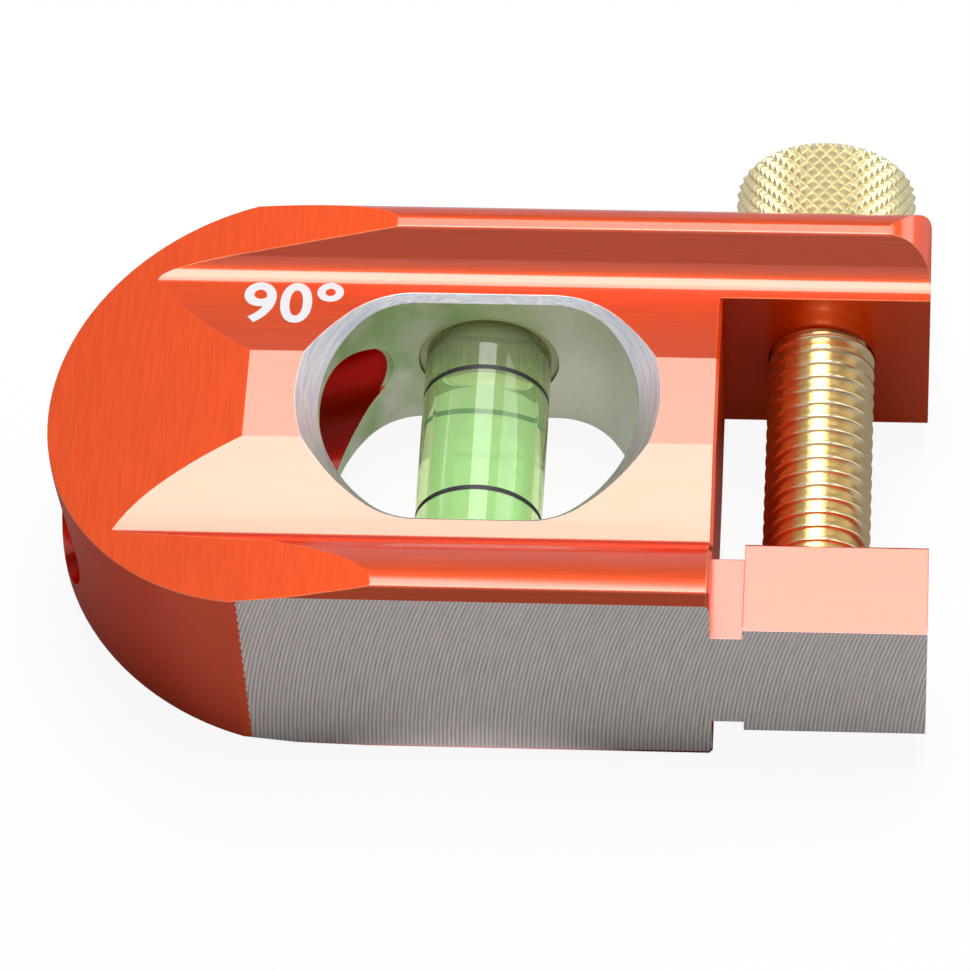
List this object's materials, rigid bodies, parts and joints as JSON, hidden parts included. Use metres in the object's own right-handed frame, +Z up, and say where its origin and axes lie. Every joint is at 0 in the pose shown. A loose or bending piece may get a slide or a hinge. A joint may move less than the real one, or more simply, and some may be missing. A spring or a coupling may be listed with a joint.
{
  "type": "pocket spirit level",
  "caption": "Flat aluminium spirit level with a round nose, a sight window over a tubular vial, a lanyard bore, a jaw and a knurled clamping thumb screw.",
  "frame": {"origin": "on the surface the level lies on, under the middle of the whole level", "axes": "+X from the round nose to the jaw, +Y from the milled base to the knurled head, +Z up, square to the level's broad sides"},
  "size_m": [0.0654, 0.045, 0.0208],
  "materials": {
    "anodised_block": "orange anodised over machining marks, with a bare milled base and a bare window wall",
    "clear_barrel": "clear, polished",
    "green_spirit": "clear green liquid",
    "bubble": "clear",
    "clear_plug": "clear",
    "black_line": "black fill",
    "sealant": "clear sealant",
    "cap": "bare turned disc",
    "brass": "bare machined brass, threaded shank and diamond knurled head"
  },
  "bodies": {
    "level": {"level_body": "anodised_block", "vial_barrel": "clear_barrel", "vial_liquid": "green_spirit", "vial_plug": "clear_plug", "vial_line_front": "black_line", "vial_line_rear": "black_line", "seat_ring_front": "sealant", "seat_ring_rear": "sealant", "vial_cap": "cap"},
    "bubble": {"vial_bubble": "bubble"},
    "screw": {"thumb_screw": "brass"}
  },
  "joints": [
    {"name": "screw_advance", "type": "slide", "parent": "level", "child": "screw", "axis": [0, 1, 0], "range_m": [0, 0.0212]},
    {"name": "bubble_travel", "type": "slide", "parent": "level", "child": "bubble", "axis": [0, 1, 0], "range_m": [-0.0172, 0], "deforming": ["vial_liquid"]}
  ]
}
